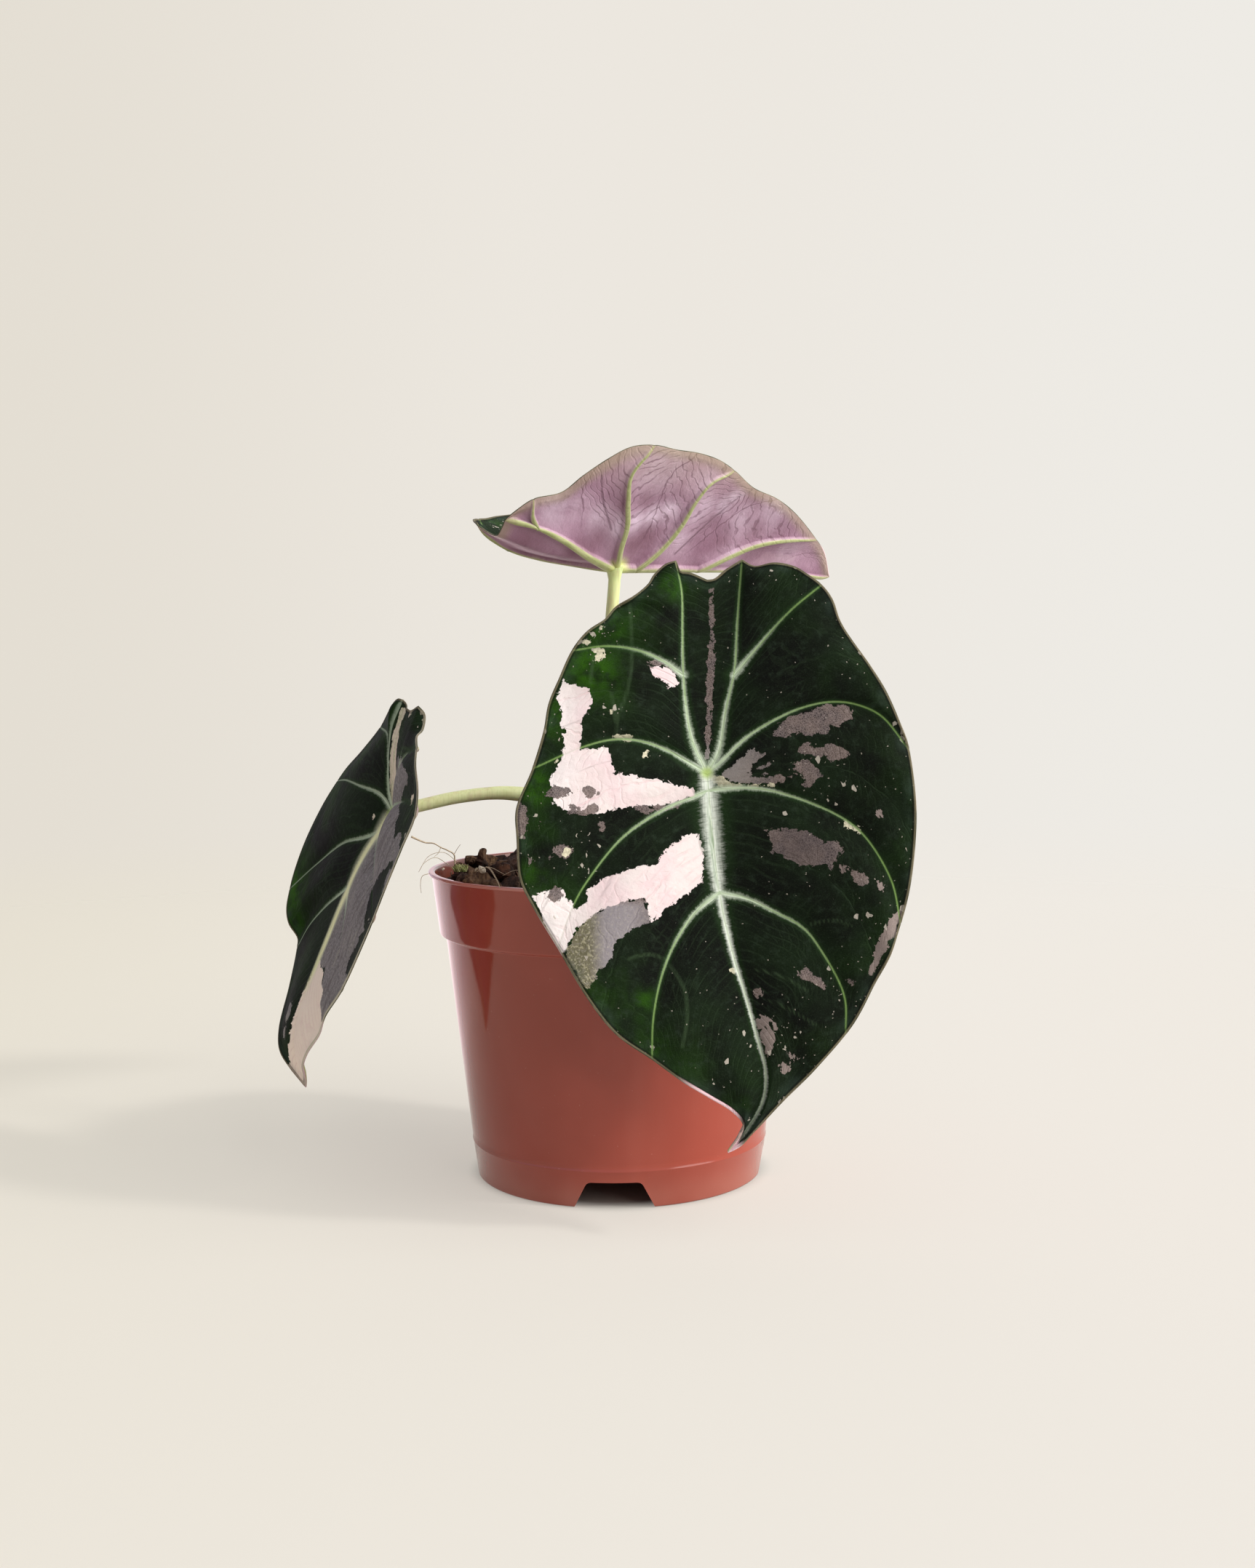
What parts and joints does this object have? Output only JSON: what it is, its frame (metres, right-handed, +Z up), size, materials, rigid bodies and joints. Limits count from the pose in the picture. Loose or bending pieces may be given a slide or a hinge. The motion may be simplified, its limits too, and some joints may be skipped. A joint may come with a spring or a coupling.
{
  "type": "potted pink black velvet alocasia",
  "caption": "Small velvet-leaved alocasia in a round plastic nursery pot: shield-shaped dark leaves with pale veins and pink variegation, on stalks from a short crown in bark mix.",
  "frame": {"origin": "on the surface the pot stands on, under the middle of the whole plant's bounding box; the pot's own axis is 13 mm to +X and 4 mm to +Y of it", "axes": "+Z up, the way the plant is tallest; -Y is the side that the big front leaf faces; +X is to the right as seen from the front"},
  "size_m": [0.1932, 0.1584, 0.2302],
  "materials": {
    "pot_plastic": "satin terracotta-brown polypropylene",
    "potting_mix": "rough bark chips and coir",
    "crown_stem": "matte leaf bases and papery scales",
    "leaf_stalk": "smooth satin pale green",
    "leaf_blade": "velvety dark green with pale veins and pink and grey patches"
  },
  "bodies": {
    "root": {"pot": "pot_plastic", "soil": "potting_mix", "crown": "crown_stem", "petiole_front": "leaf_stalk", "petiole_left": "leaf_stalk", "petiole_back": "leaf_stalk", "leaf_front": "leaf_blade", "leaf_left": "leaf_blade", "leaf_back": "leaf_blade"}
  },
  "joints": []
}
